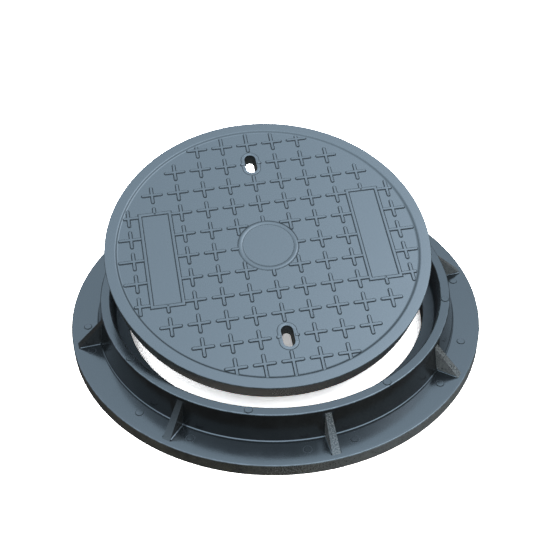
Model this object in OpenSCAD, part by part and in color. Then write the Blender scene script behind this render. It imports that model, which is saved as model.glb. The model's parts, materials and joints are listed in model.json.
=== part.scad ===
// Round composite manhole cover lifted out of its flanged frame.
// Z is up and the origin is the centre of the frame's underside. The two lifting slots lie along Y.
// The cover is built seated in the frame and then turned about one axis to the place where it is held.

/* [Cover] */
// Diameter of the cover's top face
cover_d = 700; // [560:10:840]
// Thickness of the cover from its top face to the seat
cover_t = 50; // [46:1:70]
// How far the cover's edge draws in from top to bottom
edge_taper = 8; // [4:1:12]
// Width of the plain border round the top face
border_w = 27; // [20:1:40]
// Height of the border, crosses and strips above the field
relief = 3; // [1:0.5:5]
// Thickness of the top plate under the field
plate_t = 15; // [12:1:18]
// Width of the rim that stands on the seat
rim_w = 28; // [24:1:36]
// Bevel along the cover's top edge
cover_bevel = 2; // [1:0.5:4]

/* [Tread pattern] */
// Distance between the centres of neighbouring crosses
cross_pitch = 57.6; // [54:0.2:62]
// Length of a cross from tip to tip
cross_l = 46.5; // [36:0.5:52]
// Width of a cross arm
cross_w = 7; // [5:0.5:10]

/* [Panels and disc] */
// Width of the plain panel at each side, over its strip
panel_w = 72; // [56:1:80]
// Length of the plain panel at each side, over its strip
panel_l = 248; // [180:2:260]
// Width of the raised strip round a panel
strip_w = 7; // [5:0.5:10]
// Diameter of the raised ring in the middle
disc_d = 130; // [100:2:150]
// Width of the ring round the middle disc
disc_ring_w = 9; // [6:0.5:12]
// Depth of the middle disc below its ring
disc_step = 2; // [1:0.1:2.6]

/* [Lifting slots] */
// Width of a lifting slot
slot_w = 25; // [20:1:32]
// Length of a lifting slot
slot_l = 50; // [40:1:56]
// Depth of a lifting slot through the plate and its boss
slot_depth = 28; // [24:1:34]
// Width of the low pad round a slot's mouth
slot_pad_w = 7; // [4:0.5:9]
// Height of the low pad above the field
slot_pad_h = 1; // [0.5:0.1:2]
// Wall of the boss round a slot under the plate
slot_wall = 9; // [6:1:12]

/* [Ribs under the cover] */
// Distance between neighbouring ribs
rib_pitch = 88; // [80:1:96]
// Thickness of a rib
rib_t = 16; // [14:1:20]
// How far the ribs stop short of the seat
rib_lift = 4; // [2:0.5:6]

/* [Frame] */
// Height of the frame
frame_h = 95; // [90:1:130]
// Gap between the cover's edge and the collar
cover_gap = 9; // [7:0.5:12]
// Width of the seat that carries the cover
seat_w = 26; // [22:1:34]
// Room left between the seat and the cover when it is closed
seat_gap = 0.3; // [0.2:0.1:1]
// Width of the collar's top face
collar_w = 21; // [18:1:28]
// How far the collar's outer wall spreads down to its foot
collar_spread = 11; // [6:1:18]
// Width of the flange outside the collar's foot
flange_w = 59; // [52:1:90]
// Thickness of the flange
flange_t = 29; // [28:1:36]
// Fillet where the collar stands on the flange
foot_fillet = 5; // [2:0.5:8]
// Bevel along the frame's upper edges
frame_bevel = 2; // [1:0.5:4]

/* [Gussets] */
// Number of gussets round the collar
gussets = 8; // [6:1:12]
// Angle of the first gusset from the X axis
gusset_turn = 6.9; // [0:0.1:30]
// Drop from the collar's top to a gusset's top
gusset_drop = 8; // [4:1:16]
// Bare width of flange beyond a gusset's toe
gusset_margin = 11; // [8:1:26]
// Thickness of a gusset at its foot
gusset_foot_t = 17; // [14:0.5:24]
// Thickness of a gusset at its top
gusset_top_t = 13; // [10:0.5:14]

/* [Reinforcement] */
// Diameter of the straight bars and the cover's ring bar
bar_d = 10; // [8:1:11]
// Diameter of the frame's hoops, ties and posts
hoop_d = 8; // [6:1:8]
// Resin between a bar and the nearest surface
bar_cover = 5; // [3:0.5:6]
// Resin between two layers of bars
bar_gap = 2; // [1.5:0.5:3]

/* [Held place] */
// Angle that the cover has turned out of its seat
lift_angle = 14.64; // [0:0.01:60]
// Slope of the axis that the cover turns about
lift_slope = 5.7; // [0:0.1:8]
// Distance of that axis in front of the frame's centre
lift_front = 384; // [300:1:520]
// Height of that axis above the frame's underside
lift_height = 218; // [150:1:260]

/* [Hidden] */
$fn = 96;
sink = 2;

foot_z = frame_h - cover_t;
seat_z = foot_z - seat_gap;
field_z = frame_h - relief;
plate_z = field_z - plate_t;
rib_z = foot_z + rib_lift;
slot_z = frame_h - slot_depth;

cover_r = cover_d / 2;
foot_r = cover_r - edge_taper;
rim_r = foot_r - rim_w;
field_r = cover_r - border_w;
rings = floor(field_r / cross_pitch);
slot_y = (rings - 1) * cross_pitch;
panel_x = (rings - 1) * cross_pitch;
disc_r = disc_d / 2;
boss_l = slot_l + 2 * slot_wall;

bore_r = cover_r + cover_gap;
seat_r = foot_r + cover_gap;
clear_r = seat_r - seat_w;
collar_r = bore_r + collar_w;
collar_foot_r = collar_r + collar_spread;
flange_r = collar_foot_r + flange_w;
gusset_r = flange_r - gusset_margin;

ring_bar_r = (rim_r + foot_r) / 2;
ring_bar_z = foot_z + cover_t / 2;
bar_reach = ring_bar_r - bar_d - bar_gap;
bar_x_z = rib_z + bar_cover + bar_d / 2;
bar_y_z = bar_x_z + bar_d + bar_gap;
ribs_each_side = floor((rim_r - rib_t) / rib_pitch + 0.5);
rib_xs = [for (k = [0 : ribs_each_side - 1], s = [-1, 1]) s * (k + 0.5) * rib_pitch];
rib_y_end = slot_y - boss_l / 2 - rib_t / 2;
rib_ys = [for (k = [-rings : rings]) if (abs(k) * rib_pitch < rib_y_end) k * rib_pitch];

hoop_z = bar_cover + hoop_d / 2;
tie_z = hoop_z + hoop_d + bar_gap;
collar_hoop_r = (bore_r + collar_r) / 2;
collar_hoop_z = frame_h - frame_bevel - bar_cover - hoop_d / 2;
post_bottom = tie_z + hoop_d / 2 + bar_gap;
post_top = collar_hoop_z - hoop_d / 2 - bar_gap;

composite = [0.40, 0.45, 0.49];
steel = [0.45, 0.42, 0.40];

// Turns what is drawn in the seated place to the place where the cover is held.
module held() {
    axis_point = [0, -lift_front, lift_height];
    translate(axis_point)
        rotate(a = lift_angle, v = [cos(lift_slope), 0, sin(lift_slope)])
            translate(-axis_point)
                children();
}

// Repeats its children at every gusset.
module at_gussets() {
    for (k = [0 : gussets - 1])
        rotate(gusset_turn + k * 360 / gussets)
            children();
}

// Half section of the frame: flange, collar, seat and clear opening.
module frame_section() {
    polygon([
        [clear_r, 0],
        [flange_r, 0],
        [flange_r, flange_t - frame_bevel],
        [flange_r - frame_bevel, flange_t],
        [collar_foot_r + foot_fillet, flange_t],
        [collar_foot_r, flange_t + foot_fillet],
        [collar_r, frame_h - frame_bevel],
        [collar_r - frame_bevel, frame_h],
        [bore_r + frame_bevel, frame_h],
        [bore_r, frame_h - frame_bevel],
        [seat_r, seat_z],
        [clear_r, seat_z]
    ]);
}

// One gusset along +X: a triangle that is thicker at its foot and runs on into the flange.
module gusset() {
    top_z = frame_h - gusset_drop;
    root_r = bore_r + collar_w / 4;
    rise = top_z - flange_t;
    toe_slope = (gusset_r - collar_r - sink) / rise;
    side_slope = (gusset_foot_t - gusset_top_t) / 2 / rise;
    foot_half = gusset_foot_t / 2 + sink * side_slope;
    intersection() {
        translate([0, gusset_foot_t, 0])
            rotate([90, 0, 0])
                linear_extrude(2 * gusset_foot_t)
                    polygon([
                        [root_r, flange_t - sink],
                        [gusset_r + sink * toe_slope, flange_t - sink],
                        [collar_r + sink, top_z],
                        [root_r, top_z]
                    ]);
        rotate([90, 0, 90])
            linear_extrude(flange_r)
                polygon([
                    [-foot_half, flange_t - sink],
                    [foot_half, flange_t - sink],
                    [gusset_top_t / 2, top_z],
                    [-gusset_top_t / 2, top_z]
                ]);
    }
}

// A round bar bent into a hoop.
module hoop(radius, height, d) {
    translate([0, 0, height])
        rotate_extrude()
            translate([radius, 0])
                circle(d = d);
}

module flange_outer_hoop_shape() {
    hoop(flange_r - bar_cover - hoop_d / 2, hoop_z, hoop_d);
}

module flange_inner_hoop_shape() {
    hoop(collar_foot_r, hoop_z, hoop_d);
}

module seat_hoop_shape() {
    hoop(clear_r + bar_cover + hoop_d / 2, hoop_z, hoop_d);
}

module collar_hoop_shape() {
    hoop(collar_hoop_r, collar_hoop_z, hoop_d);
}

module radial_ties_shape() {
    at_gussets()
        translate([clear_r + bar_cover, 0, tie_z])
            rotate([0, 90, 0])
                cylinder(d = hoop_d, h = flange_r - clear_r - 2 * bar_cover);
}

module collar_posts_shape() {
    at_gussets()
        translate([collar_hoop_r, 0, post_bottom])
            cylinder(d = hoop_d, h = post_top - post_bottom);
}

// The frame moulding, with room for the steel that is moulded in.
module frame() {
    color(composite)
        difference() {
            union() {
                rotate_extrude()
                    frame_section();
                at_gussets()
                    gusset();
            }
            flange_outer_hoop_shape();
            flange_inner_hoop_shape();
            seat_hoop_shape();
            collar_hoop_shape();
            radial_ties_shape();
            collar_posts_shape();
        }
}

module flange_outer_hoop() {
    color(steel)
        flange_outer_hoop_shape();
}

module flange_inner_hoop() {
    color(steel)
        flange_inner_hoop_shape();
}

module seat_hoop() {
    color(steel)
        seat_hoop_shape();
}

module collar_hoop() {
    color(steel)
        collar_hoop_shape();
}

module radial_ties() {
    color(steel)
        radial_ties_shape();
}

module collar_posts() {
    color(steel)
        collar_posts_shape();
}

// Half section of the cover: plate, border and tapered rim.
module cover_section() {
    polygon([
        [0, plate_z],
        [rim_r, plate_z],
        [rim_r, foot_z],
        [foot_r, foot_z],
        [cover_r, frame_h - cover_bevel],
        [cover_r - cover_bevel, frame_h],
        [field_r, frame_h],
        [field_r, field_z],
        [0, field_z]
    ]);
}

// A bar with round ends between two points on the X axis.
module round_bar(from_x, to_x, w) {
    translate([from_x, -w / 2])
        square([to_x - from_x, w]);
    translate([from_x, 0])
        circle(d = w);
    translate([to_x, 0])
        circle(d = w);
}

// Outline of a slot or of a pad round it, long along Y.
module slot_outline(grow) {
    half = (slot_l - slot_w) / 2;
    rotate(90)
        round_bar(-half, half, slot_w + 2 * grow);
}

// One arm pair of a cross at column i; the outermost pairs run on into the border.
module cross_arms(i) {
    half = (cross_l - cross_w) / 2;
    left = i == -rings ? -cross_pitch : -half;
    right = i == rings ? cross_pitch : half;
    round_bar(left, right, cross_w);
}

module crosses() {
    for (i = [-rings : rings], j = [-rings : rings])
        if (norm([i, j]) * cross_pitch < field_r)
            translate([i, j] * cross_pitch) {
                cross_arms(i);
                rotate(90)
                    cross_arms(j);
            }
}

module panel_outline(inset) {
    for (s = [-1, 1])
        translate([s * panel_x, 0])
            square([panel_w - 2 * inset, panel_l - 2 * inset], center = true);
}

// All that stands up from the field as high as the border.
module raised_outline() {
    difference() {
        intersection() {
            circle(field_r + sink);
            crosses();
        }
        panel_outline(strip_w / 2);
        circle(disc_r - disc_ring_w / 2);
    }
    difference() {
        panel_outline(0);
        panel_outline(strip_w);
    }
    circle(disc_r);
}

module ribs() {
    for (x = rib_xs)
        rib(sqrt(rim_r ^ 2 - x ^ 2), x, 90);
    for (y = rib_ys)
        rib(sqrt(rim_r ^ 2 - y ^ 2), y, 0);
}

// One rib along X at the given offset, turned by the given angle.
module rib(half, offset_y, angle) {
    rotate(angle)
        translate([-half - sink, (angle == 0 ? offset_y : -offset_y) - rib_t / 2, rib_z])
            cube([2 * (half + sink), rib_t, plate_z + sink - rib_z]);
}

module at_slots() {
    for (s = [-1, 1])
        translate([0, s * slot_y, 0])
            children();
}

module ring_bar_shape() {
    hoop(ring_bar_r, ring_bar_z, bar_d);
}

// One straight bar along X at the given offset.
module straight_bar(offset_y, height) {
    half = sqrt(bar_reach ^ 2 - offset_y ^ 2) - bar_d / 2;
    translate([-half, offset_y, height])
        rotate([0, 90, 0])
            cylinder(d = bar_d, h = 2 * half);
}

module bars_x_shape() {
    for (y = rib_ys)
        straight_bar(y, bar_x_z);
}

module bars_y_shape() {
    rotate(90)
        for (x = rib_xs)
            straight_bar(x, bar_y_z);
}

// The cover moulding as it lies in its seat.
module seated_cover() {
    difference() {
        union() {
            rotate_extrude()
                cover_section();
            translate([0, 0, field_z - sink])
                linear_extrude(relief + sink)
                    raised_outline();
            at_slots()
                translate([0, 0, field_z - sink])
                    linear_extrude(slot_pad_h + sink)
                        slot_outline(slot_pad_w);
            at_slots()
                translate([0, 0, slot_z])
                    linear_extrude(plate_z + sink - slot_z)
                        slot_outline(slot_wall);
            ribs();
        }
        translate([0, 0, frame_h - disc_step])
            cylinder(r = disc_r - disc_ring_w, h = disc_step + sink);
        at_slots()
            translate([0, 0, slot_z - sink])
                linear_extrude(slot_depth + 2 * sink)
                    slot_outline(0);
        ring_bar_shape();
        bars_x_shape();
        bars_y_shape();
    }
}

module cover() {
    color(composite)
        held()
            seated_cover();
}

module cover_ring_bar() {
    color(steel)
        held()
            ring_bar_shape();
}

module cover_bars_x() {
    color(steel)
        held()
            bars_x_shape();
}

module cover_bars_y() {
    color(steel)
        held()
            bars_y_shape();
}

frame();
flange_outer_hoop();
flange_inner_hoop();
seat_hoop();
collar_hoop();
radial_ties();
collar_posts();
cover();
cover_ring_bar();
cover_bars_x();
cover_bars_y();
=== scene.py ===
"""A round manhole cover of moulded composite, lifted out of its flanged frame."""

import json
import math

import bmesh
import bpy
from mathutils import Matrix, Vector


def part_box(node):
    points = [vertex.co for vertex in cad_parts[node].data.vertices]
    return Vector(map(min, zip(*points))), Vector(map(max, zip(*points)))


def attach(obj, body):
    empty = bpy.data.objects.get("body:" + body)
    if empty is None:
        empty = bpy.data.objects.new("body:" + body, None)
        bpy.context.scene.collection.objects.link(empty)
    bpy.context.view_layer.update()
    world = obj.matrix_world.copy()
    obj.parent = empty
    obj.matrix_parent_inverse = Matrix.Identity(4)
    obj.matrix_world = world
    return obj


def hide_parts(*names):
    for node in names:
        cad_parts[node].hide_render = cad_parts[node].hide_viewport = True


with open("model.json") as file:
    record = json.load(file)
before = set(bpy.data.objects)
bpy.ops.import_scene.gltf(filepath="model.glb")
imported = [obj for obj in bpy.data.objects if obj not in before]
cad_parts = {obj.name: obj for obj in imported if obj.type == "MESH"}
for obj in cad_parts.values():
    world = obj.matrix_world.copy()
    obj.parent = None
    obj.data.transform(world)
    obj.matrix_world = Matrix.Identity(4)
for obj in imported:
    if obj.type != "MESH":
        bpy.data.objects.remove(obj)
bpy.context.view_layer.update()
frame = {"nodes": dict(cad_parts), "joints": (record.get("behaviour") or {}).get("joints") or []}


# The frame is one ring pressed from glass-filled resin: a flange that is bedded in the road, a collar
# round the opening, a seat inside it for the cover, and eight gussets that brace the collar.
# Its section is turned one sector at a time, each sector with the gusset in its middle.
MM = 0.001
TOUCHING = 0.01
ORIGIN, UP = Vector((0, 0, 0)), Vector((0, 0, 1))
FLANGE_R = round(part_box("frame")[1].x / MM, 2)
FRAME_H = round(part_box("frame")[1].z / MM, 2)
FLANGE_T, FLANGE_ROUND, FOOT_ROUND = 29, 2.5, 1.5
CLEAR_R = 325
SEAT_R, SEAT_Z = 351, 44.7
SEAT_FILLET, SEAT_ROUND = 3, 2
BORE_R = 359
COLLAR_TOP_R, COLLAR_FOOT_R, COLLAR_ROUND = 379.6, 391.9, 2.5
GUSSETS = 8
GUSSET_TURN = math.radians(6.9)
GUSSET_TOP_Z, GUSSET_TOE_R = 87, 439
GUSSET_TOP_HALF, GUSSET_FOOT_HALF = 6.3, 8.5
GUSSET_ROUND = 2
LEDGE_RISE, LEDGE_RUN, LEDGE_FALL = 5.2, 2.4, 1.3
LEDGE_FOOT, LEDGE_ROUND, LEDGE_FILLET = 0.5, 0.7, 0.6
HALF_SECTOR = math.pi / GUSSETS
HALF_STRIP = GUSSET_FOOT_HALF / COLLAR_FOOT_R
SECTOR_STEPS = 9
SIDE, SLOPE = 1, 2
# Shares of the grey scuffing, partly painted light, on a gusset's sides and slope.
SCUFF_AND_LIGHT_SHARES = {SIDE: 1.0, SLOPE: 0.65}


def outline(corners, segments=4):
    """The edges of a section in the XZ plane, from corners given as (radius, height, rounding)."""
    bm = bmesh.new()
    points = [bm.verts.new((x, 0, z)) for x, z, _ in corners]
    bm.faces.new(points)
    for point, (_, _, rounding) in zip(points, corners):
        if rounding:
            bmesh.ops.bevel(bm, geom=[point], offset=rounding, affect="VERTICES",
                            segments=segments, profile=0.5, material=-1)
    bmesh.ops.delete(bm, geom=bm.faces[:], context="FACES_ONLY")
    return bm


def turn(bm, geom, angle, steps, **options):
    """Turns geometry about the upright axis and gives what it ends in."""
    return bmesh.ops.spin(bm, geom=geom, cent=ORIGIN, axis=UP, dvec=ORIGIN, angle=angle,
                          steps=steps, **options)["geom_last"]


def collar_wall_r(z):
    """Radius of the collar's leaning outer wall at a height."""
    share = (z - FLANGE_T) / (FRAME_H - FLANGE_T)
    return COLLAR_FOOT_R + share * (COLLAR_TOP_R - COLLAR_FOOT_R)


def gusset_side(geom, side):
    """Sets the outline points under a gusset to its drafted side, and gives them from top to toe."""
    top_r = collar_wall_r(GUSSET_TOP_Z)
    points = [v for v in geom if isinstance(v, bmesh.types.BMVert)
              and FLANGE_T - TOUCHING < v.co.z < GUSSET_TOP_Z + TOUCHING
              and top_r - TOUCHING < v.co.xy.length < GUSSET_TOE_R + TOUCHING]
    for point in points:
        share = (point.co.z - FLANGE_T) / (GUSSET_TOP_Z - FLANGE_T)
        half = GUSSET_FOOT_HALF + share * (GUSSET_TOP_HALF - GUSSET_FOOT_HALF)
        radius = point.co.xy.length
        point.co.xy = math.sqrt(radius ** 2 - half ** 2), side * half
    return sorted(points, key=lambda v: (-v.co.z, v.co.xy.length))


def frame_ring():
    """The turned ring with its gussets raised between the collar and the flange."""
    ledge_z = FLANGE_T + LEDGE_RISE
    ledge_r = collar_wall_r(ledge_z)
    lip_r = ledge_r + LEDGE_RUN
    bm = outline([
        (CLEAR_R, 0, FOOT_ROUND), (FLANGE_R, 0, FOOT_ROUND), (FLANGE_R, FLANGE_T, FLANGE_ROUND),
        (GUSSET_TOE_R, FLANGE_T, 0), (lip_r + LEDGE_FOOT, FLANGE_T, 0),
        (lip_r, ledge_z - LEDGE_FALL, LEDGE_ROUND), (ledge_r, ledge_z, LEDGE_FILLET),
        (collar_wall_r(GUSSET_TOP_Z), GUSSET_TOP_Z, 0), (COLLAR_TOP_R, FRAME_H, COLLAR_ROUND),
        (BORE_R, FRAME_H, COLLAR_ROUND), (SEAT_R, SEAT_Z, SEAT_FILLET), (CLEAR_R, SEAT_Z, SEAT_ROUND)])
    part = bm.faces.layers.int.new("gusset_part")
    bmesh.ops.rotate(bm, verts=bm.verts, cent=ORIGIN, matrix=Matrix.Rotation(-HALF_SECTOR, 3, "Z"))
    near = turn(bm, bm.verts[:] + bm.edges[:], HALF_SECTOR - HALF_STRIP, SECTOR_STEPS)
    far = turn(bm, near, 2 * HALF_STRIP, 1)
    turn(bm, far, HALF_SECTOR - HALF_STRIP, SECTOR_STEPS)
    near, far = gusset_side(near, -1), gusset_side(far, 1)
    covered = set(near + far)
    bmesh.ops.delete(bm, geom=[f for f in bm.faces if covered.issuperset(f.verts)], context="FACES")
    for points, kind in ((near, SIDE), (far[::-1], SIDE),
                         ((near[0], far[0], far[-1], near[-1]), SLOPE)):
        bm.faces.new(points)[part] = kind
    turn(bm, bm.verts[:] + bm.edges[:] + bm.faces[:], 2 * HALF_SECTOR * (GUSSETS - 1), GUSSETS - 1,
         use_duplicate=True)
    bmesh.ops.remove_doubles(bm, verts=bm.verts, dist=TOUCHING)
    bmesh.ops.recalc_face_normals(bm, faces=bm.faces)
    sides = [e for e in bm.edges if sum(f[part] == SIDE for f in e.link_faces) == 1]
    bmesh.ops.bevel(bm, geom=sides, offset=GUSSET_ROUND, affect="EDGES", segments=3, profile=0.5,
                    material=-1, clamp_overlap=True)
    bmesh.ops.rotate(bm, verts=bm.verts, cent=ORIGIN, matrix=Matrix.Rotation(GUSSET_TURN, 3, "Z"))
    gusset = bm.faces.layers.float.new("gusset")
    for face in bm.faces:
        face[gusset] = SCUFF_AND_LIGHT_SHARES.get(face[part], 0)
    return bm


# A thin ledge like the collar's runs along both sides of each gusset's foot and dies out at its toe.
# It is pressed with the ring, and its rounded lip catches the light as a fine line.
GUSSET_LEDGE_RISE, GUSSET_LEDGE_RUN, GUSSET_LEDGE_FALL = 3.4, 2.2, 1.1
GUSSET_LEDGE_END_R = GUSSET_TOE_R - 3.5
SINK = 2


def gusset_ledge(bm, angle, side):
    """One ledge along a gusset's foot, lower on its outer edge and sunk into the ring."""
    bar = bmesh.ops.create_cube(bm, size=1)["verts"]
    for point in bar:
        outer, upper = point.co.y * side > 0, point.co.z > 0
        run = GUSSET_LEDGE_RUN if outer else -SINK
        rise = GUSSET_LEDGE_RISE - (GUSSET_LEDGE_FALL if outer else 0)
        point.co = (GUSSET_LEDGE_END_R if point.co.x > 0 else COLLAR_TOP_R,
                    side * (GUSSET_FOOT_HALF + run), FLANGE_T + (rise if upper else -SINK))
    lip = [e for e in {e for v in bar for e in v.link_edges}
           if all(v.co.z > FLANGE_T and v.co.y * side > GUSSET_FOOT_HALF for v in e.verts)]
    bmesh.ops.rotate(bm, verts=bar, cent=ORIGIN, matrix=Matrix.Rotation(angle, 3, "Z"))
    bmesh.ops.bevel(bm, geom=lip, offset=LEDGE_ROUND, affect="EDGES", segments=3, profile=0.5,
                    material=-1)


# Ejector pins leave round marks that stand a little proud, two beside each gusset on the flange and one
# between the gussets on the collar's top. A ring of painted shade lies round the foot of each.
PIN_R = 7.8
PIN_EDGE, PIN_RISE, PIN_SINK = 0.3, 1.2, 1.5
PIN_FADE, PIN_SHADE_BAND = 0.4, 1.2
LIFT, SHADE_BAND_RISE = 0.03, 0.02
FLANGE_PIN_R = 414
FLANGE_PIN_TURNS = ((-4.3, 6), (-6, 6), (-6, 6), (-6, 6),
                    (-7.5, 3.2), (-12, 5.5), (-7, 6.3), (-5.7, 13.3))
COLLAR_PIN_R, COLLAR_PIN_TURN = 369, 21.3


def pin_mark(bm, radius, angle, z):
    """One low round button on a level face, with a ring of painted shade round its foot."""
    place = Matrix.Rotation(angle, 4, "Z") @ Matrix.Translation((radius, 0, z - PIN_SINK / 2 + LIFT))
    foot_r = PIN_R + PIN_FADE + PIN_SHADE_BAND
    button = bmesh.ops.create_cone(bm, cap_ends=True, segments=24, radius1=foot_r, radius2=foot_r,
                                   depth=PIN_SINK, matrix=place)["verts"]
    top = [max({f for v in button for f in v.link_faces}, key=lambda f: f.calc_center_median().z)]
    bm.normal_update()
    for thickness, depth, shade_share in ((PIN_FADE, SHADE_BAND_RISE, 1), (PIN_SHADE_BAND, SHADE_BAND_RISE / 2, 1),
                                   (PIN_EDGE, PIN_RISE, 0)):
        bmesh.ops.inset_region(bm, faces=top, thickness=thickness, depth=depth, use_boundary=True,
                               use_even_offset=True)
        for vert in top[0].verts:
            vert[bm.verts.layers.float["painted_shade"]] = shade_share


# The ring, its ledges and its marks are put together as one pressing. Its outer side is left raw where
# it was trimmed, and the bore below the collar's rounded edge is darkened with painted shade.
RAW_FROM_R, RAW_TOP_Z = FLANGE_R - 0.4, FLANGE_T - 1
BORE_SHADE, BORE_SHADE_TOP_Z = 0.7, FRAME_H - 4
WIDE_FACE = 60 * MM ** 2
FULL_BEND, SHARP = math.radians(50), math.radians(38)


def mark(bm, layer, chosen):
    """Stores which points of a piece its material treats apart."""
    stored = bm.verts.layers.float.new(layer)
    for vert in bm.verts:
        vert[stored] = float(chosen(vert.co))


def finish_moulding(bm, name):
    """Makes the piece from its mesh in metres, and stores where its edges stand out."""
    bmesh.ops.recalc_face_normals(bm, faces=bm.faces)
    edge = bm.verts.layers.float.new("edge")
    for vert in bm.verts:
        if all(f.calc_area() < WIDE_FACE for f in vert.link_faces):
            bend = sum(max(0, e.calc_face_angle_signed(0)) for e in vert.link_edges)
            vert[edge] = min(1, bend / FULL_BEND)
    mesh = bpy.data.meshes.new(name)
    bm.to_mesh(mesh)
    bm.free()
    mesh.shade_smooth()
    mesh.set_sharp_from_angle(angle=SHARP)
    piece = bpy.data.objects.new(name, mesh)
    bpy.context.scene.collection.objects.link(piece)
    even = piece.modifiers.new("level_faces", "WEIGHTED_NORMAL")
    even.keep_sharp = True
    return piece


frame_mesh = frame_ring()
mark(frame_mesh, "side", lambda at: at.xy.length > RAW_FROM_R and at.z < RAW_TOP_Z)
# Painted shade down the bore, below the collar's rounded edge.
mark(frame_mesh, "painted_shade", lambda at: BORE_SHADE * (at.xy.length < BORE_R and at.z < BORE_SHADE_TOP_Z))
for k, turns in enumerate(FLANGE_PIN_TURNS):
    gusset_angle = GUSSET_TURN + 2 * HALF_SECTOR * k
    for side in (-1, 1):
        gusset_ledge(frame_mesh, gusset_angle, side)
    places = [(FLANGE_PIN_R, turn_by, FLANGE_T) for turn_by in turns]
    for radius, turn_by, z in places + [(COLLAR_PIN_R, COLLAR_PIN_TURN, FRAME_H)]:
        pin_mark(frame_mesh, radius, gusset_angle + math.radians(turn_by), z)
bmesh.ops.scale(frame_mesh, vec=(MM, MM, MM), verts=frame_mesh.verts)
frame_moulding = finish_moulding(frame_mesh, "frame_moulding")


def node(tree, kind, inputs=(), **settings):
    """Adds a shader node, with its settings made and its inputs set or joined."""
    made = tree.nodes.new(kind)
    for key, value in settings.items():
        setattr(made, key, value)
    for key, value in dict(inputs).items():
        if isinstance(value, bpy.types.NodeSocket):
            tree.links.new(value, made.inputs[key])
        else:
            made.inputs[key].default_value = value
    return made


def mapped(tree, value, low, high, to_low=0.0, to_high=1.0):
    """A value taken from one range to another and held inside it."""
    return node(tree, "ShaderNodeMapRange", {"Value": value, "From Min": low, "From Max": high,
                                             "To Min": to_low, "To Max": to_high}).outputs[0]


def combined(tree, operation, *values, **settings):
    """One value worked out from others."""
    return node(tree, "ShaderNodeMath", dict(enumerate(values)), operation=operation,
                **settings).outputs[0]


def mixed(tree, factor, first, second):
    """One colour laid over another by a mask."""
    return node(tree, "ShaderNodeMix", {0: factor, 6: first, 7: second}, data_type="RGBA").outputs[2]


def noise(tree, at, scale, detail, roughness=0.5):
    """Cloudy values that change over the surface."""
    return node(tree, "ShaderNodeTexNoise", {"Vector": at, "Scale": scale, "Detail": detail,
                                             "Roughness": roughness}).outputs[0]


def marked(tree, layer):
    """What the mesh stores under a name."""
    return node(tree, "ShaderNodeAttribute", attribute_name=layer).outputs["Fac"]


def looking_up(tree):
    """How far a face looks up, from 0 on an upright one to 1 on a level one."""
    facing = node(tree, "ShaderNodeTexCoord").outputs["Normal"]
    return node(tree, "ShaderNodeSeparateXYZ", {"Vector": facing}).outputs["Z"]


def group(name, inputs, outputs):
    """An empty shader group with float sockets, apart from its vectors."""
    tree = bpy.data.node_groups.new(name, "ShaderNodeTree")
    for socket in inputs:
        kind = "NodeSocketVector" if socket in ("Vector", "Toward") else "NodeSocketFloat"
        tree.interface.new_socket(socket, in_out="INPUT", socket_type=kind)
    for socket in outputs:
        tree.interface.new_socket(socket, in_out="OUTPUT", socket_type="NodeSocketFloat")
    return tree, tree.nodes.new("NodeGroupInput").outputs, tree.nodes.new("NodeGroupOutput").inputs


def rubbed_edges():
    """Where edges that stand out have been rubbed or chipped, in uneven lengths."""
    tree, given, made = group("rubbed_edges", ("Vector", "Scale", "Amount"), ("Mask",))
    patches = noise(tree, given["Vector"], given["Scale"], detail=4, roughness=0.6)
    worn = combined(tree, "MULTIPLY", mapped(tree, marked(tree, "edge"), 0.15, 0.9),
                    mapped(tree, patches, 0.38, 0.66))
    tree.links.new(combined(tree, "MULTIPLY", worn, given["Amount"], use_clamp=True), made["Mask"])
    return tree


def level_face_shade():
    """A patchy mask of faces that look up, where the colour is swapped for a darker painted shade."""
    tree, given, made = group("level_face_shade", ("Vector", "Scale"), ("Mask",))
    cloud = noise(tree, given["Vector"], given["Scale"], detail=5, roughness=0.55)
    tree.links.new(combined(tree, "MULTIPLY", mapped(tree, looking_up(tree), 0.55, 0.95),
                            mapped(tree, cloud, 0.2, 0.8, 0.7, 1.0)), made["Mask"])
    return tree


def press_skin():
    """The skin that the mould leaves: fine grain, flow mottle and a slow waviness."""
    tree, given, made = group("press_skin", ("Vector",), ("Mottle", "Height"))
    grain = noise(tree, given["Vector"], scale=420, detail=3, roughness=0.6)
    wave = noise(tree, given["Vector"], scale=7, detail=1)
    tree.links.new(noise(tree, given["Vector"], scale=26, detail=6, roughness=0.62), made["Mottle"])
    tree.links.new(combined(tree, "ADD", grain, combined(tree, "MULTIPLY", wave, 3.0)), made["Height"])
    return tree


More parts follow.
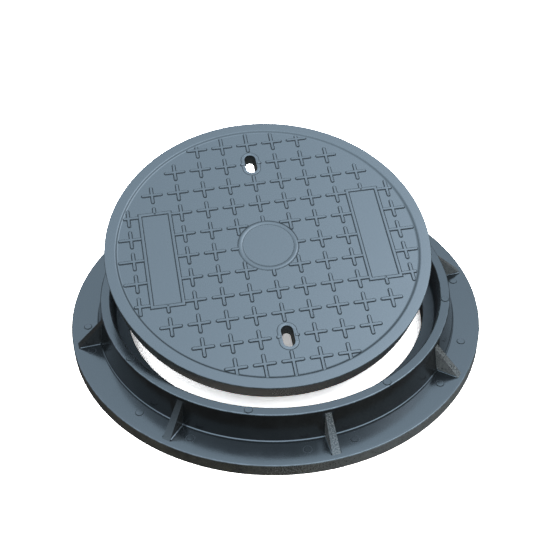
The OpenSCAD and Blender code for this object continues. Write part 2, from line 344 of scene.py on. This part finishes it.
def raw_sides_and_side_light():
    """The trimmed outer sides, mottled and rough, and a grey scuffing of sides, gussets and walls that
    is strongest on one quarter: part real wear, part painted light on the sides that face the light."""
    tree, given, made = group("raw_sides_and_side_light", ("Vector", "Toward"), ("Side", "ScuffAndLight", "Height"))
    side, gusset = marked(tree, "side"), marked(tree, "gusset")
    rough = noise(tree, given["Vector"], scale=320, detail=5, roughness=0.65)
    broad = noise(tree, given["Vector"], scale=24, detail=5, roughness=0.6)
    level = node(tree, "ShaderNodeVectorMath", {0: given["Vector"], 1: (1, 1, 0)},
                 operation="MULTIPLY").outputs[0]
    outward = node(tree, "ShaderNodeVectorMath", {0: level}, operation="NORMALIZE").outputs[0]
    # Sides that face the lit quarter are painted paler: painted light.
    turned = node(tree, "ShaderNodeVectorMath", {0: outward, 1: given["Toward"]},
                  operation="DOT_PRODUCT").outputs["Value"]
    wall = mapped(tree, looking_up(tree), 0.5, 0.25, 0, 0.08)
    open_to_scuffing_and_light = combined(tree, "MAXIMUM", combined(tree, "MAXIMUM", side, gusset), wall)
    scuffs_and_light = combined(tree, "MULTIPLY", mapped(tree, turned, 0.25, 0.85, 0.12, 1),
                      mapped(tree, rough, 0.3, 0.7, 0.15, 0.95))
    tree.links.new(combined(tree, "MULTIPLY", side, mapped(tree, broad, 0.3, 0.62)), made["Side"])
    tree.links.new(combined(tree, "MULTIPLY", open_to_scuffing_and_light, scuffs_and_light), made["ScuffAndLight"])
    tree.links.new(combined(tree, "MULTIPLY", side, rough), made["Height"])
    return tree


RUBBED_EDGES, LEVEL_FACE_SHADE, PRESS_SKIN, RAW_SIDES_AND_SIDE_LIGHT = rubbed_edges(), level_face_shade(), press_skin(), raw_sides_and_side_light()
# The quarter facing this way gets the paler scuffing, painted light from that side.
LIT_SCUFF_TOWARD = Vector((0.82, -0.57, 0))
RUBBED = (0.07, 0.07, 0.07, 1)
# Near-black painted shade at the feet of raised marks and pads and down the bore.
PAINTED_SHADE_COLOUR = (0.003, 0.003, 0.003, 1)
MOTTLE_SHADE = 0.55


def composite(name, ior, core, level_shade, raw_side, scuff_and_light, wear):
    """Dark glass-filled resin with a satin skin and rubbed edges; painted shade on its level faces, at the
    feet of raised marks and in the bore, and painted light on sides that face one quarter.
    """
    material = bpy.data.materials.new(name)
    material.use_nodes = True
    tree = material.node_tree
    shader = tree.nodes["Principled BSDF"]
    shader.inputs["IOR"].default_value = ior
    place = node(tree, "ShaderNodeTexCoord").outputs["Object"]
    skin = node(tree, "ShaderNodeGroup", {"Vector": place}, node_tree=PRESS_SKIN).outputs
    level_shaded = node(tree, "ShaderNodeGroup", {"Vector": place, "Scale": 9},
                 node_tree=LEVEL_FACE_SHADE).outputs[0]
    worn = node(tree, "ShaderNodeGroup", {"Vector": place, "Scale": 55, "Amount": wear},
                node_tree=RUBBED_EDGES).outputs[0]
    raw = node(tree, "ShaderNodeGroup", {"Vector": place, "Toward": LIT_SCUFF_TOWARD},
               node_tree=RAW_SIDES_AND_SIDE_LIGHT).outputs
    shaded = [MOTTLE_SHADE * c for c in core[:3]] + [1]
    body = mixed(tree, mapped(tree, skin["Mottle"], 0.35, 0.65), shaded, core)
    # Faces that look up take the level-face colour, a painted shade.
    body = mixed(tree, level_shaded, mixed(tree, raw["Side"], body, raw_side), level_shade)
    # Grey scuffing, part wear and part painted light on the quarter that faces the light.
    body = mixed(tree, raw["ScuffAndLight"], body, scuff_and_light)
    # Points marked at the feet of raised marks and pads, and down the bore, take a near-black painted
    # shade.
    painted_shade = marked(tree, "painted_shade")
    colour = mixed(tree, painted_shade, mixed(tree, worn, body, RUBBED), PAINTED_SHADE_COLOUR)
    tree.links.new(colour, shader.inputs["Base Color"])
    matte = mapped(tree, combined(tree, "MAXIMUM", raw["ScuffAndLight"], painted_shade), 0, 1, 0, 0.95)
    smooth = mapped(tree, skin["Mottle"], 0.3, 0.7, 0.15, 0.22)
    tree.links.new(combined(tree, "MAXIMUM", matte, smooth), shader.inputs["Roughness"])
    bump = node(tree, "ShaderNodeBump", {"Height": skin["Height"], "Strength": 0.15,
                                         "Distance": 0.0004})
    rough = node(tree, "ShaderNodeBump", {"Height": raw["Height"], "Strength": 0.25, "Distance": 0.0006,
                                          "Normal": bump.outputs[0]})
    tree.links.new(rough.outputs[0], shader.inputs["Normal"])
    return material


frame_moulding.data.materials.append(composite(
    "frame_composite", ior=1.56, core=(0.0048, 0.0046, 0.0042, 1), level_shade=(0.0015, 0.0015, 0.0015, 1),
    raw_side=(0.034, 0.026, 0.017, 1), scuff_and_light=(0.150, 0.126, 0.104, 1), wear=0.5))
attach(frame_moulding, "frame_body")
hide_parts("frame")


# The frame's steel is bent round bar, laid in the mould before the resin is pressed round it.
# It keeps its mill scale and a bloom of rust, and none of it shows on a sound frame.
SCALE_GREY, RUST_BROWN = (0.09, 0.09, 0.10, 1), (0.22, 0.08, 0.03, 1)


def reinforcing_steel():
    """Dark mill scale on round bar, broken by rust."""
    material = bpy.data.materials.new("reinforcing_steel")
    material.use_nodes = True
    tree = material.node_tree
    shader = tree.nodes["Principled BSDF"]
    place = node(tree, "ShaderNodeTexCoord").outputs["Object"]
    rust = noise(tree, place, scale=60, detail=6, roughness=0.65)
    rusty = mapped(tree, rust, 0.45, 0.62)
    tree.links.new(mixed(tree, rusty, SCALE_GREY, RUST_BROWN), shader.inputs["Base Color"])
    tree.links.new(mapped(tree, rusty, 0, 1, 0.85, 0.1), shader.inputs["Metallic"])
    tree.links.new(mapped(tree, rusty, 0, 1, 0.42, 0.85), shader.inputs["Roughness"])
    bump = node(tree, "ShaderNodeBump", {"Height": rust, "Strength": 0.3, "Distance": 0.0005})
    tree.links.new(bump.outputs[0], shader.inputs["Normal"])
    return material


REINFORCING_STEEL = reinforcing_steel()


def steel_bars(*names):
    """Gives bars that keep their CAD shape the finish of the steel."""
    for name in names:
        finishes = frame["nodes"][name].data.materials
        finishes.clear()
        finishes.append(REINFORCING_STEEL)


steel_bars("flange_outer_hoop", "flange_inner_hoop", "seat_hoop", "collar_hoop", "radial_ties",
           "collar_posts")


# The cover is one pressing of the same compound: a plate with a plain border, a deep tapered rim that
# stands on the seat, and two slots for lifting keys. It is modelled as it lies in its seat, and turned
# about the joint's axis to the place where it is held.
COVER_R, COVER_FOOT_R = 350, 342
COVER_ROUND, COVER_FOOT_ROUND = 2.6, 2
COVER_FOOT_Z = FRAME_H - 50
RIM_R, RIM_ROUND = 314, 1.5
FIELD_R = 324
RELIEF = 3
FIELD_Z = FRAME_H - RELIEF
PLATE_Z = FIELD_Z - 15
DRAFT = 1.8
SKIRT = 1.2
BORDER_SLOPE, BORDER_ROUND = 4.4, 1.6
COVER_STEPS = 180
PITCH = 57.6
RINGS = 5
SLOT_ROW = 4
SLOT_Y = SLOT_ROW * PITCH
SLOT_W, SLOT_L, SLOT_Z = 25, 50, FRAME_H - 28
SLOT_DRAFT, SLOT_END = 3.7, 0.6
MOUTH_ROUND, MOUTH_MIDDLE = 1.1, 0.3
PAD_W, PAD_H, PAD_SLOPE = 7, 1, 1
BOSS_WALL, BOSS_ROUND = 9, 1
COVER_RAW_FROM_R, COVER_RAW_TOP_Z = COVER_FOOT_R - 0.5, FRAME_H - 1
UNDERSIDE_Z = PLATE_Z + 0.1


def edges_round(bm, z, radius):
    """The edges of the circle of that radius at a height."""
    ring = {v for v in bm.verts
            if abs(v.co.z - z) < TOUCHING and abs(v.co.xy.length - radius) < TOUCHING}
    return [e for e in bm.edges if ring.issuperset(e.verts)]


def slot_way(bm, y, steps, segments=32):
    """The skin of a slot, drawn out of a ring round its mouth, and the first and last of its edges."""
    half = (SLOT_L - SLOT_W) / 2
    ring = bmesh.ops.create_circle(bm, segments=segments, radius=1,
                                   matrix=Matrix.Rotation(math.pi / segments, 4, "Z"))["verts"]
    for point in ring:
        point.co.y += y + math.copysign(half, point.co.y)
    first = edges = list({e for point in ring for e in point.link_edges})
    for step, (grow, z) in enumerate(steps):
        if step:
            ring = [v for v in bmesh.ops.extrude_edge_only(bm, edges=edges)["geom"]
                    if isinstance(v, bmesh.types.BMVert)]
            edges = [e for e in {e for v in ring for e in v.link_edges} if set(ring).issuperset(e.verts)]
        for point in ring:
            centre = Vector((0, y + math.copysign(half, point.co.y - y), z))
            side = Vector((point.co.x, point.co.y - centre.y, 0)).normalized()
            point.co = centre + side * (SLOT_W / 2 + grow)
            # The ring at the foot of the pad round the slot is marked for painted shade.
            point[bm.verts.layers.float["painted_shade"]] = float(step == 1)
    return first, edges


def cover_plate():
    """The rim and border, turned, with the plate filled in round the two slots and their bosses."""
    inner, under = FIELD_R - BORDER_SLOPE, RIM_R - DRAFT
    bm = outline([
        (inner, FIELD_Z, 0), (FIELD_R - BORDER_SLOPE / 2, FIELD_Z, BORDER_ROUND),
        (FIELD_R + BORDER_SLOPE / 2, FRAME_H, BORDER_ROUND), (COVER_R, FRAME_H, COVER_ROUND),
        (COVER_FOOT_R, COVER_FOOT_Z, COVER_FOOT_ROUND), (RIM_R, COVER_FOOT_Z, RIM_ROUND),
        (under, PLATE_Z, 0)])
    bmesh.ops.delete(bm, geom=[e for e in bm.edges if all(
        v.co.x < inner + TOUCHING and v.co.z > PLATE_Z - TOUCHING for v in e.verts)], context="EDGES")
    turn(bm, bm.verts[:] + bm.edges[:], 2 * math.pi, COVER_STEPS, use_merge=True)
    bm.verts.layers.float.new("painted_shade")
    field, plate = edges_round(bm, FIELD_Z, inner), edges_round(bm, PLATE_Z, under)
    pad_z = FIELD_Z + PAD_H
    pad = ((PAD_W + PAD_SLOPE + SKIRT, FIELD_Z), (PAD_W + PAD_SLOPE, FIELD_Z),
           (PAD_W + 0.2, pad_z - 0.2), (PAD_W - 0.5, pad_z))
    way = ((MOUTH_ROUND, pad_z), (MOUTH_MIDDLE, pad_z - MOUTH_MIDDLE), (0, pad_z - MOUTH_ROUND),
           (-SLOT_DRAFT, SLOT_Z + SLOT_END), (-SLOT_DRAFT + SLOT_END, SLOT_Z))
    boss = ((BOSS_WALL - BOSS_ROUND, SLOT_Z), (BOSS_WALL, SLOT_Z + BOSS_ROUND),
            (BOSS_WALL + BOSS_ROUND, PLATE_Z))
    for y in (-SLOT_Y, SLOT_Y):
        mouth, foot = slot_way(bm, y, pad + way + boss)
        field, plate = field + mouth, plate + foot
    bmesh.ops.triangle_fill(bm, edges=field, use_beauty=True, normal=UP)
    bmesh.ops.triangle_fill(bm, edges=plate, use_beauty=True, normal=-UP)
    mark(bm, "side", lambda at: at.z < UNDERSIDE_Z
         or at.xy.length > COVER_RAW_FROM_R and at.z < COVER_RAW_TOP_Z)
    return bm


# The tread is a grid of crosses almost as high as the border. Arms that meet the border, the strips of
# the plain panels or the ring of the middle disc run into them, and short stubs show where most of a
# cross is lost. All of it is pressed with drafted sides and rounded top edges.
CROSS_REACH = 23.25
CROSS_HALF = 3.3
ARM_TOP = RELIEF - 1
ARM_ROUND, TIP_ROUND = 0.7, 0.95
ARM_STOP_R, ARM_BURIED_R = FIELD_R - BORDER_SLOPE / 2 - 1, FIELD_R + 8
PANEL_COLUMN, PANEL_ROW = 4, 2
PANEL_W, PANEL_L, PANEL_X, STRIP_W = 72, 248, PANEL_COLUMN * PITCH, 7
DISC_R, DISC_RING_W, DISC_STEP = 65, 9, 2
RING_OUTER_FOOT_R, RING_OUTER_CREST_R = DISC_R + 0.9, DISC_R - 1.6
RING_INNER_FOOT_R, RING_INNER_CREST_R = DISC_R - DISC_RING_W - 1, DISC_R - DISC_RING_W + 2
RING_ROUND, RING_STEPS = 2.2, 96


def patch(bm, xs, ys):
    """A flat patch of faces under the field between the lines at xs and ys."""
    columns, rows = len(xs) - 1, len(ys) - 1
    points = bmesh.ops.create_grid(bm, x_segments=columns, y_segments=rows, size=0.5)["verts"]
    for point in points:
        column, row = round((point.co.x + 0.5) * columns), round((point.co.y + 0.5) * rows)
        point.co = xs[column], ys[row], FIELD_Z - SINK
    return points


def cross_arms(i, j):
    """How far the arms of a cross reach to the left, right, front and back of its centre."""
    x, y = i * PITCH, j * PITCH
    return (-(math.sqrt(ARM_STOP_R ** 2 - y ** 2) + x) if i == -RINGS else -CROSS_REACH,
            math.sqrt(ARM_STOP_R ** 2 - y ** 2) - x if i == RINGS else CROSS_REACH,
            -(math.sqrt(ARM_BURIED_R ** 2 - x ** 2) + y) if j == -RINGS else -CROSS_REACH,
            math.sqrt(ARM_STOP_R ** 2 - x ** 2) - y if j == RINGS else CROSS_REACH)


def raise_relief(bm, faces, segments=2):
    """Lifts flat patches out of the field with drafted sides, rounded top edges and a band of painted
    shade at the foot.
    """
    lifted = bmesh.ops.extrude_face_region(bm, geom=faces, use_keep_orig=True)["geom"]
    top = [f for f in lifted if isinstance(f, bmesh.types.BMFace)]
    inside = set(top)
    bmesh.ops.translate(bm, vec=UP * (SINK + LIFT), verts=list({v for f in top for v in f.verts}))
    bm.normal_update()
    bmesh.ops.inset_region(bm, faces=top, thickness=SKIRT, depth=SHADE_BAND_RISE, use_even_offset=True)
    for edge in {e for f in top for e in f.edges if not inside.issuperset(e.link_faces)}:
        for vert in edge.verts:
            vert[bm.verts.layers.float["painted_shade"]] = 1
    bmesh.ops.inset_region(bm, faces=top, thickness=DRAFT, depth=ARM_TOP - LIFT - SHADE_BAND_RISE,
                           use_even_offset=True)
    for vert in {v for f in top for v in f.verts}:
        vert[bm.verts.layers.float["painted_shade"]] = 0
    rim = {e for f in top for e in f.edges if not inside.issuperset(e.link_faces)}
    bmesh.ops.bevel(bm, geom=list(rim), offset=ARM_ROUND, affect="EDGES", segments=segments,
                    profile=0.5, material=-1, clamp_overlap=True)


def tread_crosses():
    """All crosses and stubs, laid out flat and then raised together."""
    bm = bmesh.new()
    bm.verts.layers.float.new("painted_shade")
    spread = DRAFT / 2 + SKIRT
    half = CROSS_HALF + spread
    tips = []
    for i in range(-RINGS, RINGS + 1):
        for j in range(-RINGS, RINGS + 1):
            x, y = i * PITCH, j * PITCH
            in_panel = abs(i) == PANEL_COLUMN and abs(j) <= PANEL_ROW
            at_slot = i == 0 and abs(j) == SLOT_ROW
            if math.hypot(x, y) >= FIELD_R or (i, j) == (0, 0):
                continue
            if abs(i) + abs(j) == 1:
                reach = (DISC_R - DISC_RING_W / 2, PITCH + CROSS_REACH + spread)
                ends = sorted((i + j) * distance for distance in reach)
                across = (-half, half)
                points = patch(bm, ends, across) if i else patch(bm, across, ends)
                tips += [v for v in points if v.co.xy.length > PITCH + CROSS_REACH]
            elif in_panel:
                if abs(j) == PANEL_ROW:
                    side = math.copysign(1, j)
                    ends = sorted((y, y + side * (CROSS_REACH + spread)))
                    points = patch(bm, (x - half, x + half), ends)
                    tips += [v for v in points if abs(v.co.y) > abs(y)]
            elif at_slot:
                for side in (-1, 1):
                    ends = sorted((side * SLOT_W / 2, side * (CROSS_REACH + spread)))
                    points = patch(bm, ends, (y - half, y + half))
                    tips += [v for v in points if abs(v.co.x) > SLOT_W / 2 + 1]
            else:
                left, right, front, back = cross_arms(i, j)
                points = patch(bm, (x + left - spread, x - half, x + half, x + right + spread),
                               (y + front - spread, y - half, y + half, y + back + spread))
                corners = {f for v in points for f in v.link_faces
                           if all(abs(d) > half for d in (f.calc_center_median().x - x,
                                                          f.calc_center_median().y - y))}
                bmesh.ops.delete(bm, geom=list(corners), context="FACES")
                tips += [v for v in points
                         if v.is_valid and math.hypot(v.co.x - x, v.co.y - y) > 2 * half]
    bmesh.ops.bevel(bm, geom=tips, offset=half * TIP_ROUND, affect="VERTICES", segments=3, profile=0.5,
                    material=-1)
    raise_relief(bm, bm.faces[:])
    return bm


def panel_strips():
    """The raised strips round the two plain panels."""
    bm = bmesh.new()
    bm.verts.layers.float.new("painted_shade")
    half_w, half_l = (PANEL_W + DRAFT) / 2 + SKIRT, (PANEL_L + DRAFT) / 2 + SKIRT
    for x in (-PANEL_X, PANEL_X):
        panel = list(patch(bm, (x - half_w, x + half_w), (-half_l, half_l))[0].link_faces)
        bm.normal_update()
        bmesh.ops.inset_region(bm, faces=panel, thickness=STRIP_W + DRAFT + 2 * SKIRT, use_boundary=True,
                               use_even_offset=True)
        bmesh.ops.delete(bm, geom=panel, context="FACES")
    raise_relief(bm, bm.faces[:])
    return bm


def middle_disc():
    """The middle disc, one step below the rounded ring round it."""
    crest, disc_z, ring_foot = FIELD_Z + ARM_TOP, FRAME_H - DISC_STEP, FIELD_Z + LIFT + SHADE_BAND_RISE
    outer, inner = RING_OUTER_FOOT_R, RING_INNER_FOOT_R
    bm = outline([
        (0, FIELD_Z - SINK, 0), (outer + SKIRT, FIELD_Z - SINK, 0),
        (outer + SKIRT, ring_foot - SHADE_BAND_RISE, 0), (outer, ring_foot, 0),
        (RING_OUTER_CREST_R, crest, RING_ROUND), (RING_INNER_CREST_R, crest, RING_ROUND),
        (inner, disc_z, 0), (inner - SKIRT, disc_z, 0), (0, disc_z, 0)])
    # The feet of the ring, inside and out, are marked for painted shade.
    mark(bm, "painted_shade", lambda at: at.z > FIELD_Z
         and min(abs(at.x - outer), abs(at.x - inner)) < TOUCHING)
    bmesh.ops.delete(bm, geom=[e for e in bm.edges if all(v.co.x < TOUCHING for v in e.verts)],
                     context="EDGES")
    turn(bm, bm.verts[:] + bm.edges[:], 2 * math.pi, RING_STEPS, use_merge=True)
    bmesh.ops.remove_doubles(bm, verts=bm.verts, dist=TOUCHING)
    return bm


# Ribs under the plate cross each other and run into the rim. They are pressed with it, thin a little
# towards their feet and hold the steel bars.
RIB_PITCH = 88
RIB_HALF, RIB_DRAFT, RIB_ROUND = 8, 1, 2
RIB_Z = COVER_FOOT_Z + 4


def ribs():
    """The grid of ribs, each a tapered bar with rounded lower edges."""
    bm = bmesh.new()
    along_x = [(0, k * RIB_PITCH) for k in range(-2, 3)]
    along_y = [(90, (k + 0.5) * RIB_PITCH) for k in range(-3, 3)]
    for angle, offset in along_x + along_y:
        reach = math.sqrt(RIM_R ** 2 - offset ** 2) + SINK
        points = bmesh.ops.create_cube(bm, size=2)["verts"]
        for point in points:
            low = point.co.z < 0
            half = RIB_HALF - RIB_DRAFT if low else RIB_HALF + RIB_DRAFT
            point.co = (point.co.x * reach, offset + point.co.y * half, RIB_Z if low else PLATE_Z + SINK)
        low_edges = {e for v in points for e in v.link_edges
                     if all(w.co.z == RIB_Z for w in e.verts)
                     and abs(e.verts[0].co.x - e.verts[1].co.x) > reach}
        turned = Matrix.Rotation(math.radians(angle), 3, "Z")
        bmesh.ops.rotate(bm, verts=points, cent=ORIGIN, matrix=turned)
        bmesh.ops.bevel(bm, geom=list(low_edges), offset=RIB_ROUND, affect="EDGES", segments=2,
                        profile=0.5, material=-1)
    mark(bm, "side", lambda at: True)
    return bm


def add_shells(bm, *shells):
    """Joins further meshes of the same pressing to it."""
    for shell in shells:
        mesh = bpy.data.meshes.new("shell")
        shell.to_mesh(mesh)
        shell.free()
        bm.from_mesh(mesh)
        bpy.data.meshes.remove(mesh)


cover_mesh = cover_plate()
add_shells(cover_mesh, tread_crosses(), panel_strips(), middle_disc(), ribs())
bmesh.ops.scale(cover_mesh, vec=(MM, MM, MM), verts=cover_mesh.verts)
lift = frame["joints"][0]
bmesh.ops.rotate(cover_mesh, verts=cover_mesh.verts, cent=lift["pos_m"],
                 matrix=Matrix.Rotation(math.radians(-lift["range_deg"][0]), 3, Vector(lift["axis"])))
cover_moulding = finish_moulding(cover_mesh, "cover_moulding")
cover_moulding.data.materials.append(composite(
    "cover_composite", ior=1.5, core=(0.0075, 0.0072, 0.0066, 1), level_shade=(0.007, 0.007, 0.007, 1),
    raw_side=(0.058, 0.050, 0.038, 1), scuff_and_light=(0.060, 0.056, 0.050, 1), wear=0.4))
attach(cover_moulding, "cover_body")
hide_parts("cover")


# The cover's steel is straight bar in the ribs and one ring bar in the rim. It is laid in the mould and
# sealed in the compound, so none of it shows.
steel_bars("cover_ring_bar", "cover_bars_x", "cover_bars_y")


# The studio: an overlit pale floor that only the camera sees, under a wide soft dome like an overcast
# sky. It is brightest overhead, with a glow a little to the right, and dark at the ground, apart from
# a weak bounce from straight below.
FLOOR_SIZE = 180
FLOOR_DROP = 0.0006
FLOOR_COLOUR, FLOOR_GLOW = (2.4, 1.82, 1.49, 1), 0.3
SKY_LOW, SKY_HIGH, SKY_POWER = 0.2, 5.25, 1.7
SKY_FRONT, SKY_BACK = 1.25, 0.8
SKY_BOUNCE = 0.6
SKY_GLOW, SKY_GLOW_POWER, SKY_GLOW_TOWARD = 5.6, 20, Vector((0.45, 0.15, 0.88))
GROUND_COLOUR, SKY_COLOUR, GLOW_COLOUR = (0.30, 0.28, 0.26, 1), (0.74, 1.0, 1.24, 1), (0.78, 0.98, 1.18, 1)
floor_mesh = bmesh.new()
bmesh.ops.create_grid(floor_mesh, x_segments=1, y_segments=1, size=FLOOR_SIZE / 2,
                      matrix=Matrix.Translation((0, 0, -FLOOR_DROP)))
floor_data = bpy.data.meshes.new("floor")
floor_mesh.to_mesh(floor_data)
floor_mesh.free()
floor = bpy.data.objects.new("floor", floor_data)
bpy.context.scene.collection.objects.link(floor)
floor.visible_diffuse = False
floor.visible_glossy = False
floor_paint = bpy.data.materials.new("pale_floor")
floor_paint.use_nodes = True
floor_shader = floor_paint.node_tree.nodes["Principled BSDF"]
floor_shader.inputs["Base Color"].default_value = FLOOR_COLOUR
floor_shader.inputs["Roughness"].default_value = 0.9
floor_shader.inputs["Emission Color"].default_value = (1, 1, 1, 1)
floor_shader.inputs["Emission Strength"].default_value = FLOOR_GLOW
floor.data.materials.append(floor_paint)

surround = bpy.data.worlds.new("surround")
surround.use_nodes = True
dome = surround.node_tree
background = dome.nodes["Background"].inputs
toward = node(dome, "ShaderNodeTexCoord").outputs["Generated"]
direction = node(dome, "ShaderNodeSeparateXYZ", {"Vector": toward}).outputs
overhead = combined(dome, "POWER", mapped(dome, direction["Z"], 0, 1), SKY_POWER)
depth = mapped(dome, direction["Y"], -1, 1, SKY_FRONT * SKY_HIGH, SKY_BACK * SKY_HIGH)
brightness = combined(dome, "MULTIPLY_ADD", overhead, depth, SKY_LOW)
near_glow = node(dome, "ShaderNodeVectorMath", {0: toward, 1: SKY_GLOW_TOWARD},
                 operation="DOT_PRODUCT").outputs["Value"]
glow = combined(dome, "POWER", mapped(dome, near_glow, 0, 1), SKY_GLOW_POWER)
brightness = combined(dome, "MULTIPLY_ADD", glow, SKY_GLOW, brightness)
bounce = mapped(dome, direction["Z"], -0.75, -1, 0, SKY_BOUNCE)
dome.links.new(combined(dome, "ADD", brightness, bounce), background["Strength"])
sky = mixed(dome, mapped(dome, direction["Z"], -0.05, 0.1), GROUND_COLOUR, SKY_COLOUR)
dome.links.new(mixed(dome, glow, sky, GLOW_COLOUR), background["Color"])
bpy.context.scene.world = surround
bpy.context.scene.view_settings.view_transform = "Standard"


# The camera stands where the photograph was taken from, a little to the left of the slots' line, and
# looks down on the part.
CAMERA_AZIMUTH = math.radians(-8.31)
CAMERA_ELEVATION = math.radians(40.9)
CAMERA_ROLL = math.radians(-0.814)
CAMERA_DISTANCE = 2.4
CAMERA_SENSOR, CAMERA_LENS = 36, 70.91
AIM_HEIGHT, AIM_RIGHT, AIM_UP = 0.050, 0.0005, 0.0554
back = Vector((math.sin(CAMERA_AZIMUTH) * math.cos(CAMERA_ELEVATION),
               -math.cos(CAMERA_AZIMUTH) * math.cos(CAMERA_ELEVATION), math.sin(CAMERA_ELEVATION)))
right = Vector((math.cos(CAMERA_AZIMUTH), math.sin(CAMERA_AZIMUTH), 0))
above = back.cross(right)
camera_data = bpy.data.cameras.new("photo_camera")
camera_data.sensor_width = CAMERA_SENSOR
camera_data.lens = CAMERA_LENS
camera = bpy.data.objects.new("photo_camera", camera_data)
rolled = Matrix((right, above, back)).transposed().to_4x4() @ Matrix.Rotation(CAMERA_ROLL, 4, "Z")
aim = Vector((0, 0, AIM_HEIGHT)) + AIM_RIGHT * right + AIM_UP * above
camera.matrix_world = Matrix.Translation(aim + CAMERA_DISTANCE * back) @ rolled
bpy.context.scene.collection.objects.link(camera)
bpy.context.scene.camera = camera
